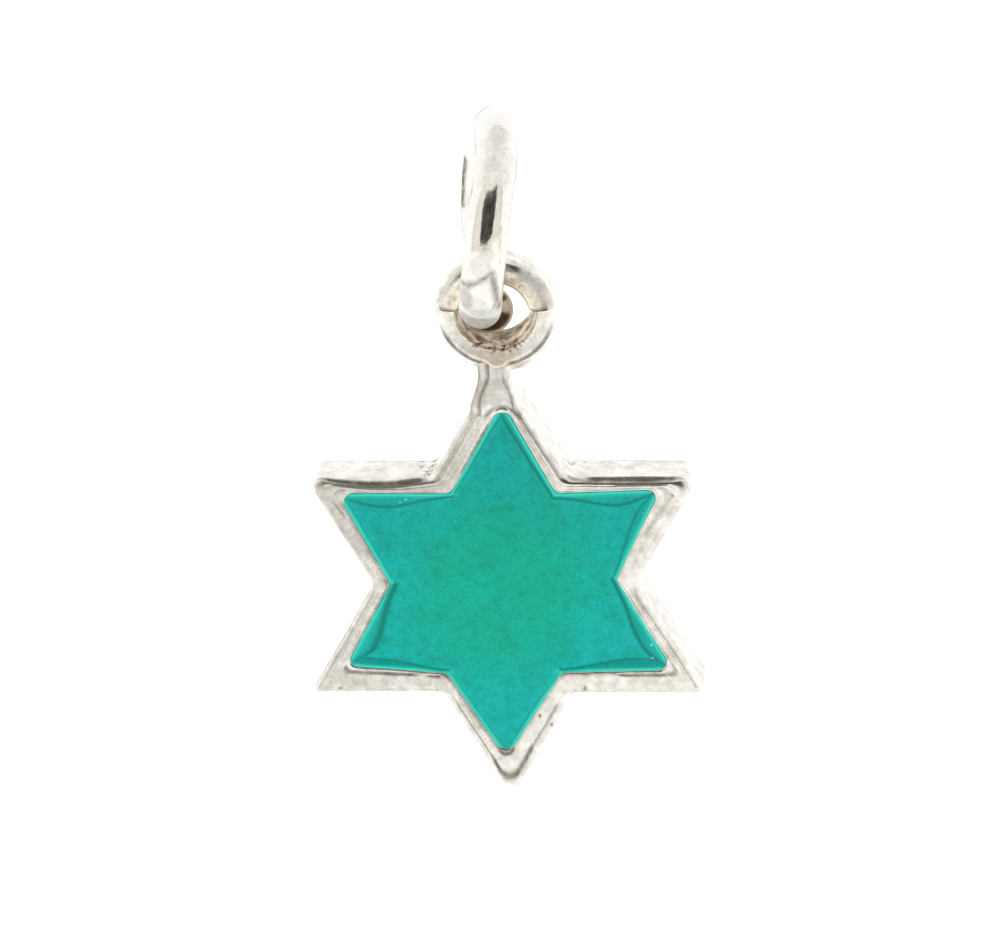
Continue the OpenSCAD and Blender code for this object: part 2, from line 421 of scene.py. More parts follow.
def table_curve(rows, column, at):
    """A smooth curve through one column of a table, by its first column"""
    x = np.array([r[0] for r in rows], float)
    y = np.array([r[column] for r in rows], float)
    slope = np.gradient(y, x)
    at = np.clip(at, x[0], x[-1])
    i = np.clip(np.searchsorted(x, at) - 1, 0, len(x) - 2)
    w = x[i + 1] - x[i]
    u = (at - x[i]) / w
    return ((1 + 2 * u) * (1 - u) ** 2 * y[i] + u * (1 - u) ** 2 * w * slope[i]
            + u * u * (3 - 2 * u) * y[i + 1] + u * u * (u - 1) * w * slope[i + 1])


def wander(points, scale, seed):
    """Smooth noise from -1 to 1 at each point"""
    return np.array([noise_at(x, y, z + seed) for x, y, z in points * scale])


def stray(points, centre_y, amounts):
    """Moves points away from the upright through a centre, each by its own amount"""
    away = points[:, :2] - (0, centre_y)
    away /= np.maximum(np.linalg.norm(away, axis=1), 1e-6)[:, None]
    points[:, :2] += away * amounts[:, None]


class StarOutlines:
    """The star's outlines, sampled so that a point of one faces a point of another"""

    def __init__(self, s):
        self.star_r = s.star_r / MM
        self.edge_h = self.star_r / 2
        self.mid_edge = self.star_r / math.sqrt(3)
        heights = [row[0] for row in NECK]
        rise = np.linspace(heights[0], heights[-1], NECK_STEPS + 1)
        self.tip_z = np.concatenate((rise, np.full(19, rise[-1]), rise[::-1]))
        self.tip_side = np.concatenate((np.ones(len(rise)), np.linspace(1, -1, 21)[1:-1],
                                        -np.ones(len(rise))))
        self.edge_of, self.along, self.station = self._labels()

    def _labels(self):
        """Which edge each sample belongs to, how far along its straight, and its station"""
        edge_of, along, station = [], [], []
        straight = np.arange(1, STRAIGHT_STEPS) / STRAIGHT_STEPS
        for i in range(12):
            steps = TIP_STEPS if i == 11 else CORNER_STEPS
            turning = np.arange(steps + 1)
            late = turning > steps / 2
            edge_of += [i + late, np.full(len(straight), i + 1)]
            along += [1.0 - late, straight]
            station += [i + 0.9 + 0.2 * turning / steps, i + 1.1 + 0.8 * straight]
        return np.concatenate(edge_of) % 12, np.concatenate(along), np.concatenate(station) % 12

    def _ring(self, corners):
        """One closed outline: the corners, with straight edges between them"""
        out = []
        u = np.arange(1, STRAIGHT_STEPS)[:, None] / STRAIGHT_STEPS
        for i, points in enumerate(corners):
            a, b = points[-1], corners[(i + 1) % 12][0]
            out += [points, a + (b - a) * u]
        return np.concatenate(out)

    def _tip(self, part, ha, hb):
        """The outer outline's path up the neck and down again"""
        z = self.tip_z
        h = np.where(self.tip_side > 0, ha, hb)
        line = (h - z * math.sin(math.radians(30))) / math.cos(math.radians(30))
        neck = table_curve(NECK, 1, z) * (1 - part) + table_curve(NECK, 2, z) * part
        w = smooth((z - NECK[0][0]) / 0.3)
        shift = NECK_SHIFT * (1 - 0.4 * part) * w
        return np.stack((self.tip_side * (line * (1 - w) + neck * w) + shift, z), axis=1)

    def outer(self, part, inset=0.0, sagging=0.0):
        """Outer outline, drawn in by a part of each edge's bevel, or by one distance"""
        edges = [(e[FACES], self.edge_h + e[SHIFT] - part * e[BEVEL] - inset) for e in STAR_EDGES]
        corners = [corner(*edges[i], *edges[i + 1], STAR_EDGES[i][OUTER_ROUND], CORNER_STEPS)
                   for i in range(11)]
        tip = self._tip(part, edges[11][1], edges[0][1])
        tip[:, 0] -= self.tip_side * inset * smooth((self.tip_z - NECK[0][0]) / 0.3)
        ring = self._ring(corners + [tip])
        sag = np.array([STAR_EDGES[i][SAG] for i in self.edge_of]) * np.sin(math.pi * self.along)
        facing = np.array([heading(STAR_EDGES[i][FACES]) for i in self.edge_of])
        return ring - facing * (sag * (sagging + (1 - sagging) * part))[:, None]

    def slanted(self, i, inset):
        """Direction and distance of an edge drawn in and turned about its middle"""
        a = STAR_EDGES[i][FACES]
        side = -1 if i % 2 == 0 else 1
        mid = (self.edge_h - inset) * heading(a) + side * self.mid_edge * heading(a + 90)
        b = a + STAR_EDGES[i][SLANT]
        return b, float(mid @ heading(b))

    def enamel(self, grow):
        """Outline of the enamel, grown by a distance"""
        edges = self.enamel_edges(grow)
        return self._ring([corner(*edges[i], *edges[(i + 1) % 12], STAR_EDGES[i][ENAMEL_ROUND],
                                  TIP_STEPS if i == 11 else CORNER_STEPS) for i in range(12)])

    def edge_distance(self, points):
        """Distance of each point inside the enamel from each of its edges"""
        return np.array([h - points @ heading(a) for a, h in self.enamel_edges()])

    def enamel_edges(self, grow=0.0):
        """Direction and distance of each of the enamel's edges"""
        return [self.slanted(i, STAR_EDGES[i][RIM] - grow) for i in range(12)]


def crease_patchiness(station):
    """How strongly each dark line shows at each sample, so that it comes and goes"""
    return [np.array([0.9 + 0.35 * noise_at(t * 7, row[0], 0.5)
                      + 0.15 * noise_at(t * 40, row[0], 2.5) for t in station])
            for row in CREASE_AND_SHADE_LINES]


def line_darkness(station, place, wear):
    """How dark the creases, painted shade and painted reflections leave each sample of a ring at
    one place across the rim
    """
    dark = np.zeros(len(station))
    for (first, last, start, middle, end, width, strength), patchy in zip(CREASE_AND_SHADE_LINES, wear):
        u = ((station - first) % 12) / (last - first)
        inside = u < 1
        u = np.clip(u, 0, 1)
        at = start * (1 - u) * (1 - 2 * u) + middle * 4 * u * (1 - u) + end * u * (2 * u - 1)
        taper = np.clip(np.sin(math.pi * u) * 3.0, 0, 1)
        thick = width * (0.45 + 0.55 * taper)
        near = strength * taper * patchy * np.exp(-((place - at) / thick) ** 2)
        dark = np.maximum(dark, np.where(inside, near, 0))
    return np.clip(dark, 0, 1)


def seat_of(setting, ring):
    """Where the chain would lie, from the star's centre, and the wire under the loop"""
    loop_z = (setting.star_r + setting.neck_rise + setting.loop_r) / MM
    ring_r = (ring.ring_od / 2 - ring.wire_d / 2) / MM
    hang_r = (setting.hole_r - ring.wire_d / 2 - ring.hang_gap) / MM
    arch_mid = (setting.plate_t / 2 + setting.arch_proud - setting.arch_t / 2) / MM
    pivot = np.array((-hang_r * math.sin(ring.hang_turn), -arch_mid,
                      loop_z + hang_r * math.cos(ring.hang_turn)))
    up = np.array((math.sin(ring.lean), 0, math.cos(ring.lean)))
    return pivot + (2 * ring_r - ring.wire_d / 2 / MM) * up, pivot


def hung(points):
    """Stands points that were drawn lying on their back upright, hung from the seat"""
    scene = bpy.context.scene
    seat, _ = seat_of(scene.pendant_setting, scene.pendant_ring)
    return np.stack((points[:, 0], -points[:, 2], points[:, 1]), axis=1) - seat


def cast_ripple(points):
    """How far a casting's faces stray in depth, the same wherever two parts of it meet"""
    flat = points * (1, 1, 0)
    return 0.010 * wander(flat, 0.7, 11.3) + 0.004 * wander(flat, 2.6, 5.9)


def linked(name, data):
    """A new object, in the scene"""
    made = bpy.data.objects.new(name, data)
    bpy.context.scene.collection.objects.link(made)
    return made


def put_marks(mesh, marks):
    """Keeps named amounts on a mesh's points"""
    for key, amounts in marks.items():
        layer = mesh.attributes.new(key, "FLOAT", "POINT")
        layer.data.foreach_set("value", np.asarray(amounts, np.float32))


def new_piece(name, points, faces, marks):
    """A mesh object from points in millimetres, with named amounts on its points"""
    mesh = bpy.data.meshes.new(name)
    mesh.from_pydata((points * MM).tolist(), [], faces)
    put_marks(mesh, marks)
    mesh.validate()
    mesh.update()
    return linked(name, mesh)


def skin_faces(rings, around):
    """Faces of a stack of rings with equal numbers of points; the two last points cap it"""
    faces = []
    for j in range(rings - 1):
        low, high = j * around, (j + 1) * around
        for i in range(around):
            k = (i + 1) % around
            faces.append((low + i, low + k, high + k, high + i))
    foot, head, last = rings * around, rings * around + 1, (rings - 1) * around
    for i in range(around):
        k = (i + 1) % around
        faces.append((foot, k, i))
        faces.append((head, last + i, last + k))
    return faces


def fused(name, pieces):
    """Joins closed pieces into one closed mesh, and carries their marks over"""
    body = pieces[0]
    for other in pieces[1:]:
        join = body.modifiers.new("join", "BOOLEAN")
        join.operation = "UNION"
        join.solver = "MANIFOLD"
        join.object = other
    bpy.context.view_layer.update()
    graph = bpy.context.evaluated_depsgraph_get()
    mesh = bpy.data.meshes.new_from_object(body.evaluated_get(graph))
    keys = [a.name for a in body.data.attributes if a.data_type == "FLOAT" and a.domain == "POINT"]
    places = [v.co for p in pieces for v in p.data.vertices]
    tree = kdtree.KDTree(len(places))
    for i, place in enumerate(places):
        tree.insert(place, i)
    tree.balance()
    nearest = [tree.find(v.co)[1] for v in mesh.vertices]
    marks = {}
    for key in keys:
        if key in mesh.attributes:
            mesh.attributes.remove(mesh.attributes[key])
        before = [d.value for p in pieces for d in p.data.attributes[key].data]
        marks[key] = np.array(before, np.float32)[nearest]
    put_marks(mesh, marks)
    for p in pieces:
        bpy.data.objects.remove(p)
    return linked(name, mesh)


def shade(piece):
    piece.data.shade_smooth()
    piece.data.set_sharp_from_angle(angle=math.radians(SHARP_FROM))


def make_tray(s):
    """The star's tray with its rim, recess and neck"""
    lines = StarOutlines(s)
    front = s.plate_t / 2 / MM
    back_edge, deep = s.back_edge / MM, s.bevel_deep / MM
    lip, gap, side_sag = s.lip / MM, 0.02, 0.7
    floor = front - s.recess_deep / MM
    lip_dark = 0.5 * np.array([STAR_EDGES[i][LIP_DARK] for i in lines.edge_of])
    count = len(lines.edge_of)
    tip_slice = slice(TIP_AT, TIP_AT + TIP_STEPS + 1)
    tip = np.zeros(count)
    tip[tip_slice] = lines.tip_z
    # Up the neck, the back comes forward to the back of the loop's lower half
    rear = front + (s.loop_back / MM - front) * np.clip((tip - lines.star_r) / 1.06, 0, 1)

    rings, tarnish_and_shade = [], []
    wear = crease_patchiness(lines.station)

    def add(outline, share, dark, place=None):
        """A ring at a share of the way from the back, 0, to the front, 1"""
        # The neck's end dips just under the loop's front
        dip = 0.006 * smooth((outline[:, 1] - 6.28) / 0.06)
        depth = -rear + (front - dip + rear) * share
        if place is not None:
            # Lines dent the rim a little; on the bevels they are painted dark reflections, and
            # along the outline painted shade
            patchy = line_darkness(lines.station, place, wear)
            depth = depth - 0.014 * patchy * smooth((1 - place) / 0.2) * smooth((place + 0.05) / 0.1)
            dark = np.maximum(dark, patchy)
        rings.append(np.column_stack((outline, depth)))
        tarnish_and_shade.append(np.broadcast_to(dark, (count,)).copy())

    thick = 2 * front
    # The back edge carries painted shade, darker towards the outline
    for k, a in enumerate(quarter(4)):
        add(lines.outer(0, back_edge * (1 - math.sin(a))),
            back_edge * (1 - math.cos(a)) / thick, 0.15 + 0.25 * (k / 4) ** 2)
    low, high = back_edge / thick, 1 - deep / thick
    for u in np.arange(1, SIDE_STEPS) / SIDE_STEPS:
        add(lines.outer(0, 0.0, side_sag * u ** 2), low + (high - low) * u, CLEAN)
    for k, a in enumerate(quarter(8)):
        add(lines.outer(1 - math.cos(a), 0.0, side_sag), 1 - deep * (1 - math.sin(a)) / thick, 0.0,
            2 - k / 8)
    flat, inner = lines.outer(1, 0.0, side_sag), lines.enamel(lip)
    for k in range(1, RIM_STEPS):
        place = (1 - k / RIM_STEPS) ** 1.3
        add(inner + (flat - inner) * place, 1 - 0.012 * (2 * place - 1) ** 4 / thick, 0.0, place)
    # Painted shade darkens the lip towards the enamel, and the recess's wall below it
    for k, a in enumerate(quarter(5)):
        add(lines.enamel(gap + (lip - gap) * (1 - math.sin(a))),
            1 - lip * (1 - math.cos(a)) / thick, lip_dark * (0.2 + 0.8 * k / 5), -0.02 * k)
    for d in (0.5, 1.0):
        add(lines.enamel(gap), 1 - (lip + (front - floor - lip) * d) / thick, lip_dark)

    points = np.concatenate(rings)
    dark = wear_tray(points, np.concatenate(tarnish_and_shade), lines.enamel(0)[tip_slice], front)
    points = np.vstack((points, (0, 0, -front), (0, 0, floor)))
    # The middle of the back is a little darker, and the recess's floor carries painted shade
    dark = np.append(dark, (0.1, 0.5))
    faces = skin_faces(len(rings), count)
    # Behind the neck, rungs from side to side take the place of the long fan
    foot, first, last = len(rings) * count, TIP_AT, TIP_AT + TIP_STEPS
    faces = [f for f in faces if f[0] != foot or not first <= f[2] < last]
    faces.append((foot, last, first))
    for k in range(NECK_STEPS - 1):
        faces.append((first + k + 1, first + k, last - k, last - k - 1))
    faces.append(tuple(range(last - NECK_STEPS + 1, first + NECK_STEPS - 2, -1)))
    return new_piece("tray", hung(points), faces,
                     {"tarnish_and_shade": dark, "brown": 0 * dark, "rubbed": 0 * dark})


def wear_tray(points, dark, peak, front):
    """Moves the tray's points as casting and wear do, and returns how dark each one is"""
    # Castings are never quite flat or straight
    ripple, fine = wander(points, 0.8, 3.1), wander(points, 2.8, 7.7)
    stray(points, 0, 0.024 * ripple + 0.011 * fine)
    points[:, 2] += cast_ripple(points)
    x, y, z = points.T
    for at_x, at_y, size, depth in PITS:
        near = np.exp(-((x - at_x) ** 2 + (y - at_y) ** 2) / size ** 2) * (z > 0)
        z -= depth * near
        dark = np.maximum(dark, near)
    # A groove runs round the top of the enamel
    middle = (peak[0] + peak[-1]) / 2 - (0, 0.10)
    away = np.hypot(x - middle[0], y - middle[1])
    reach = np.linalg.norm(peak[TIP_STEPS // 2] - middle) + TOP_GROOVE
    near = np.exp(-((away - reach) / 0.06) ** 2) * smooth((y - middle[1] - 0.10) / 0.2)
    near *= z > front - 0.05
    z -= 0.015 * near
    dark = np.maximum(dark, 0.55 * near)
    # The front faces are darker, more so on the left, in the upper left and on the neck
    dimmed = 0.07 + 0.13 * smooth((0.5 - x) / 2.5)
    dimmed += 0.12 * smooth(y / 2 + 0.2) * smooth(-x / 1.5)
    dimmed = np.maximum(dimmed, 0.26 * smooth((y - 4.9) / 0.5))
    dark = np.maximum(dark, dimmed * (1 + 0.5 * fine) * (z > front - 0.05))
    flecks = np.clip(3.0 * wander(points, 11.0, 17.0) + 0.6, 0, 1)
    for at_x, at_y, depth, size, strength in ROUGH_SPOTS:
        away = (x - at_x) ** 2 + (y - at_y) ** 2 + (z - depth) ** 2
        near = strength * flecks * np.exp(-(away / size ** 2) ** 2)
        y -= 0.03 * near
        dark = np.maximum(dark, near)
    return dark


def swept(rings):
    """Points of a stack of sections, and the middles of its two ends"""
    ends = np.array([np.mean(rings[0], axis=0), np.mean(rings[-1], axis=0)])
    return np.array(rings).reshape(-1, 3), ends


def make_cup(s, loop_z):
    """The loop's lower half"""
    front = s.plate_t / 2 / MM
    back = s.loop_back / MM
    mouth, loop_r = s.mouth_r / MM, s.loop_r / MM
    brim, back_round, throat_round = mouth + 0.02, 0.12, 0.10
    angles = np.linspace(CUP[0][0], CUP[-1][0], CUP_STEPS)
    rings, tarnish_and_shade = [], []
    for a in angles:
        outer = float(table_curve(CUP, 1, a))
        throat = float(table_curve(CUP, 2, a))
        from_low = abs(a - 270)
        # The front edge is softened on both sides and runs out where the neck joins
        soft = float(smooth((from_low - 2) / 12))
        bevel, drop = 0.03 + (s.loop_bevel / MM - 0.03) * soft, 0.02 + 0.15 * soft
        # A painted dark reflection lies along the softened front edge, unevenly
        patchy = 1.0 + 0.25 * noise_at(a / 6, 3.0, 1.0)
        band = 0.74 * patchy * float(smooth((from_low - 6) / 8) * smooth((86 - from_low) / 30))
        dimming = 0.08 + 0.18 * float(smooth((70 - from_low) / 50))
        dimming += 0.14 * math.exp(-(from_low / 22) ** 2)
        section = []
        # From the throat at the back, forwards through the bowl, painted dark as shade inside the
        # opening
        for u in np.arange(21) / 20:
            r = throat + (mouth - throat) * smooth((u - 0.25) / 0.75) ** 0.8
            streak = noise_at(a / 22, u * 9, 1.5) + 0.5 * noise_at(a / 9, u * 21, 4)
            inside = 0.55 + 0.50 * streak - 0.20 * float(smooth((a - 300) / 40))
            section.append((r + throat_round * (1 - min(1, u / 0.18)) ** 2 + 0.03 * streak * u,
                            -back + (front + back) * u * 0.985,
                            max(0.05, inside) * float(smooth((98 - from_low) / 12))))
        section.append((brim, front, 0.30))
        section += [(brim + (loop_r - bevel - brim) * k / 8, front, dimming) for k in range(1, 8)]
        for k, t in enumerate(quarter(8)):
            section.append((loop_r - bevel * (1 - math.sin(t)),
                            front - drop * (1 - math.cos(t)), band if 1 < k < 6 else 0.2 * band))
        for u in np.arange(1, 9) / 8:
            section.append((loop_r + (outer - loop_r) * smooth(u * 1.6),
                            front - drop - (front + back - back_round - drop) * u, 0.06))
        for t in quarter(4, 1):
            section.append((outer - back_round * (1 - math.cos(t)),
                            -back + back_round * (1 - math.sin(t)), 0.05))
        for u in np.arange(1, 5) / 5:
            inwards = (throat + throat_round - outer + back_round) * u
            section.append((outer - back_round + inwards, -back, 0.05))
        h = heading(a)
        rings.append([(r * h[0], r * h[1] + loop_z, d) for r, d, _ in section])
        tarnish_and_shade.append([t for _, _, t in section])
    points, ends = swept(rings)
    points[:, 2] += cast_ripple(points)
    stray(points, loop_z, 0.012 * wander(points, 1.6, 31.0))
    # Rough pits along the bottom of the bowl's rim
    dark = np.array(tarnish_and_shade).ravel()
    pits = np.clip(wander(points * (1, 1.6, 1), 8.0, 41.0) - 0.10, 0, 1) * 3
    x, y, z = points.T
    at_rim = np.exp(-((np.hypot(x, y - loop_z) - brim) / 0.11) ** 2)
    at_rim *= np.exp(-(x / 0.62) ** 4) * (y < loop_z) * (z > 0.4)
    z -= 0.06 * np.clip(pits * at_rim, 0, 1)
    dark = np.maximum(dark, np.clip(1.5 * pits * at_rim, 0, 1))
    points = np.vstack((points, ends))
    dark = np.append(dark, (0.6, 0.6))
    faces = [f[::-1] for f in skin_faces(len(rings), len(rings[0]))]
    # The brown mark paints shade inside the opening, and tints the front below it brown
    inside = np.hypot(points[:, 0], points[:, 1] - loop_z) < mouth + 0.04
    below = 0.7 * np.exp(-(points[:, 0] / 0.5) ** 2) * (points[:, 2] > 0.4)
    return new_piece("cup", hung(points), faces, {"tarnish_and_shade": dark, "rubbed": 0 * dark,
                                                  "brown": np.where(inside, 1.0, below)})


# The upper half's four long edges, from the outer front one round by the inner front.
# Columns: side of the middle radius, side of the middle depth, rounding across and in depth.
ARCH_CORNERS = (
    (1, 1, (0.30, 0.20)),
    (-1, 1, (0.12, 0.12)),
    (-1, -1, (0.14, 0.14)),
    (1, -1, (0.14, 0.14)),
)


def make_arch(s, loop_z):
    """The loop's upper half, a rounded bar that stands proud of the front"""
    hole, loop_r = s.hole_r / MM, s.loop_r / MM + 0.04
    mid_d = (s.plate_t / 2 + s.arch_proud - s.arch_t / 2) / MM
    half_d, half_r = s.arch_t / 2 / MM, (loop_r - hole) / 2
    mid_r = (hole + loop_r) / 2
    # Where the bar starts and ends, and over how many degrees each end is rounded
    first, last, tail = 5.0, 175.0, 12.0
    ease = np.linspace(0, math.pi / 2, ARCH_END_STEPS)
    turns = np.concatenate((first + tail * (1 - np.cos(ease)),
                            np.linspace(first + tail, last - tail, ARCH_STEPS)[1:-1],
                            last - tail + tail * np.sin(ease)))
    rings, tarnish_and_shade, rubbed = [], [], []
    for a in turns:
        from_end = min(a - first, last - a)
        u = min(1.0, from_end / tail)
        full = math.sqrt(max(0.0, 1 - (1 - u) ** 2))
        hr, hd = half_r * (0.45 + 0.55 * full), half_d * (0.55 + 0.45 * full)
        h = heading(a)
        ring, dark = [], []
        # The ends are painted dark, as the shadow where the bar stands out over the lower half
        end_dark = 1.5 * (1 - full) ** 0.5 if from_end < tail else 0.0
        # A painted dark reflection runs along the outer front edge
        band = 0.05 + 0.75 * float(smooth((a - 62) / 9) * smooth((130 - a) / 30))

        def on_edge(q, turn):
            """A point of a rounded edge, across and in depth from the bar's middle"""
            side, fore, size = ARCH_CORNERS[q % 4]
            round_r, round_d = min(size[0], hr * 0.95), min(size[1], hd * 0.95)
            t = math.radians(turn)
            return np.array((side * (hr - round_r) + round_r * math.cos(t),
                             fore * (hd - round_d) + round_d * math.sin(t)))

        def place(across, ahead):
            radius = mid_r + across
            ring.append((radius * h[0], radius * h[1] + loop_z, mid_d + ahead))

        for q in range(4):
            for k in range(11):
                place(*on_edge(q, 90 * (q + k / 10)))
                line = band * math.exp(-((k - 8.6) / 1.1) ** 2) if q == 0 else 0.0
                bare = q == 3 or (q == 0 and k < 7)
                dark.append(max(line, end_dark) + (CLEAN if bare else 0))
                rubbed.append(float(smooth((66 - a) / 10)) if q == 0 else 0.0)
            # Points along the flat that follows the corner
            here, there = (on_edge(n, 90 * (q + 1)) for n in (q, q + 1))
            for k in range(1, 6):
                place(*(here + (there - here) * k / 6))
                scratch = noise_at(a / 7, k * 1.7, 9.0) if q == 0 else 0.0
                dimming = (0.12, 0.14, 0.16, 0.10, 0.08)[k - 1] + 0.26 * scratch
                dark.append(max(dimming, end_dark) if q < 3 else end_dark + CLEAN)
                rubbed.append(0.0)
        rings.append(ring)
        tarnish_and_shade.append(dark)
    points, ends = swept(rings)
    stray(points, loop_z, 0.012 * wander(points, 1.5, 51.0))
    points[:, 2] += 0.010 * wander(points, 1.3, 61.0)
    dark = np.array(tarnish_and_shade).ravel()
    pits = np.clip(wander(points, 13.0, 71.0) - 0.58, 0, 1) * 6
    pits *= (points[:, 0] > 0.2) * (points[:, 2] > mid_d)
    points[:, 2] -= 0.02 * np.clip(pits, 0, 1)
    dark = np.maximum(dark, np.clip(pits, 0, 0.5))
    points = np.vstack((points, ends))
    # The end caps carry that painted shadow too
    dark = np.append(dark, (0.9, 0.9))
    # The brown mark paints shade on the bar's inner half
    inside = np.hypot(points[:, 0], points[:, 1] - loop_z) < mid_r
    return new_piece("arch", hung(points), skin_faces(len(rings), len(rings[0])),
                     {"tarnish_and_shade": dark, "brown": 0.6 * inside, "rubbed": rubbed + [0.0, 0.0]})


def make_enamel(s, e):
    """The enamel: a shallow pool that creeps up the wall of its recess"""
    lines = StarOutlines(s)
    front = s.plate_t / 2 / MM
    top = front - e.low / MM
    bottom = front - (s.recess_deep - e.gap) / MM
    outline = lines.enamel(e.gap / MM + 0.015)
    count = len(outline)
    near_edge, further = np.linspace(0, 0.20, 36), np.linspace(0, 1, 26)[1:-1]
    shares = np.concatenate((near_edge, 0.20 + 0.80 * further ** 1.1))
    rings = [np.column_stack((outline, np.full(count, bottom))),
             np.column_stack((outline, np.full(count, (bottom + top) / 2)))]
    rings += [np.column_stack((outline * (1 - t), np.full(count, top))) for t in shares]
    points = np.vstack((np.concatenate(rings), (0, 0, bottom), (0, 0, top)))
    surface = np.ones(len(points), bool)
    surface[:2 * count] = False
    surface[-2] = False
    gaps = lines.edge_distance(points[:, :2])
    # The star is the union of two triangles, so the wall is the nearer of the further edges
    reach = star_depth(gaps)
    creep = np.exp(-np.clip(reach, 0, None) / (e.climb_w / MM))
    points[surface, 2] += (e.climb / MM) * creep[surface]
    points[surface, 2] += 0.008 * wander(points[surface], 0.5, 81.0)
    # Painted dark reflection lines, and a painted highlight along the edge
    line, rim = enamel_lines(points, lines)
    arm = smooth((np.hypot(points[:, 0], points[:, 1]) - 1.0) / 3.0)
    return new_piece("teal_enamel", hung(points), skin_faces(len(rings), count),
                     {"line": line * surface, "rim": rim * surface, "arm": arm})


def star_depth(gaps):
    """Distance inside the star's outline, from the distances to its twelve edges"""
    first, second = (gaps[rows].min(axis=0) for rows in ([0, 3, 4, 7, 8, 11], [1, 2, 5, 6, 9, 10]))
    return np.maximum(first, second)


# Painted dark reflections where the enamel's surface turns up, along each edge.
# Columns: distance from the edge at its start, at the peak and at its end, place of the
# peak along it, thickness, darkness of the line, darkness between the line and the edge.
ENAMEL_LINES = (
    (0.12, 0.09, 0.06, 0.40, 0.040, 0.60, 0.20),
    (0.06, 0.36, 0.16, 0.60, 0.050, 0.95, 0.18),
    (0.08, 0.10, 0.08, 0.50, 0.035, 0.40, 0.10),
    (0.10, 0.40, 0.12, 0.72, 0.110, 0.95, 0.10),
    (0.22, 0.22, 0.05, 0.30, 0.055, 0.80, 0.55),
    (0.05, 0.08, 0.08, 0.50, 0.035, 0.40, 0.10),
    (0.08, 0.10, 0.05, 0.50, 0.035, 0.45, 0.10),
    (0.05, 0.30, 0.24, 0.68, 0.060, 0.85, 0.55),
    (0.12, 0.34, 0.08, 0.32, 0.070, 1.00, 0.25),
    (0.08, 0.26, 0.10, 0.70, 0.040, 0.80, 0.25),
    (0.10, 0.38, 0.11, 0.40, 0.055, 1.00, 0.15),
    (0.11, 0.16, 0.18, 0.60, 0.055, 1.00, 0.30),
)


def enamel_lines(points, lines):
    """How strongly each point belongs to a painted dark reflection line, and to the painted
    highlight along the edge
    """
    dark = np.zeros(len(points))
    gaps = []
    inward = lines.edge_distance(points[:, :2])
    edges = lines.enamel_edges()
    corners = [meet(*edges[i], *edges[(i + 1) % 12]) for i in range(12)]
    for i, (start, peak, end, peak_at, thick, line_dark, fill) in enumerate(ENAMEL_LINES):
        first, last = corners[i - 1], corners[i]
        run = last - first
        length = np.linalg.norm(run)
        run /= length
        off = points[:, :2] - first
        u = off @ run / length
        d = off @ np.array((-run[1], run[0]))
        v = np.clip(u, 0, 1)
        # Past the notch the line bends round the corner, half way to the next edge
        past = np.clip((u - 1 if i % 2 == 0 else -u) * length, 0, None)
        d = np.where(d > 0, np.hypot(d, past), d)
        turn = smooth((0.77 - past / np.maximum(d, 1e-6)) / 0.27)
        at = np.where(v < peak_at, start + (peak - start) * smooth(v / peak_at),
                      peak + (end - peak) * smooth((v - peak_at) / (1 - peak_at)))
        at = at + 0.02 * np.array([noise_at(t * 5, i, 0) for t in v])
        # A line stops where the other edge of the same tip is nearer
        other = (i + 1 if i % 2 else i - 1) % 12
        inside = smooth((inward[other] - d + 0.05) / 0.08) * (d > -0.05) * turn
        soft = np.where(d > at, thick * 0.7, thick * 1.2)
        near = line_dark * np.exp(-((d - at) / soft) ** 2)
        near = np.maximum(near, fill * (d < at) * smooth(d / 0.09))
        dark = np.maximum(dark, near * inside)
        gaps.append(np.where((u > -0.05) & (u < 1.05) & (d > -0.2), np.abs(d), 9.0))
    rim = np.exp(-np.minimum.reduce(gaps) / 0.055)
    return np.clip(dark, 0, 1), rim


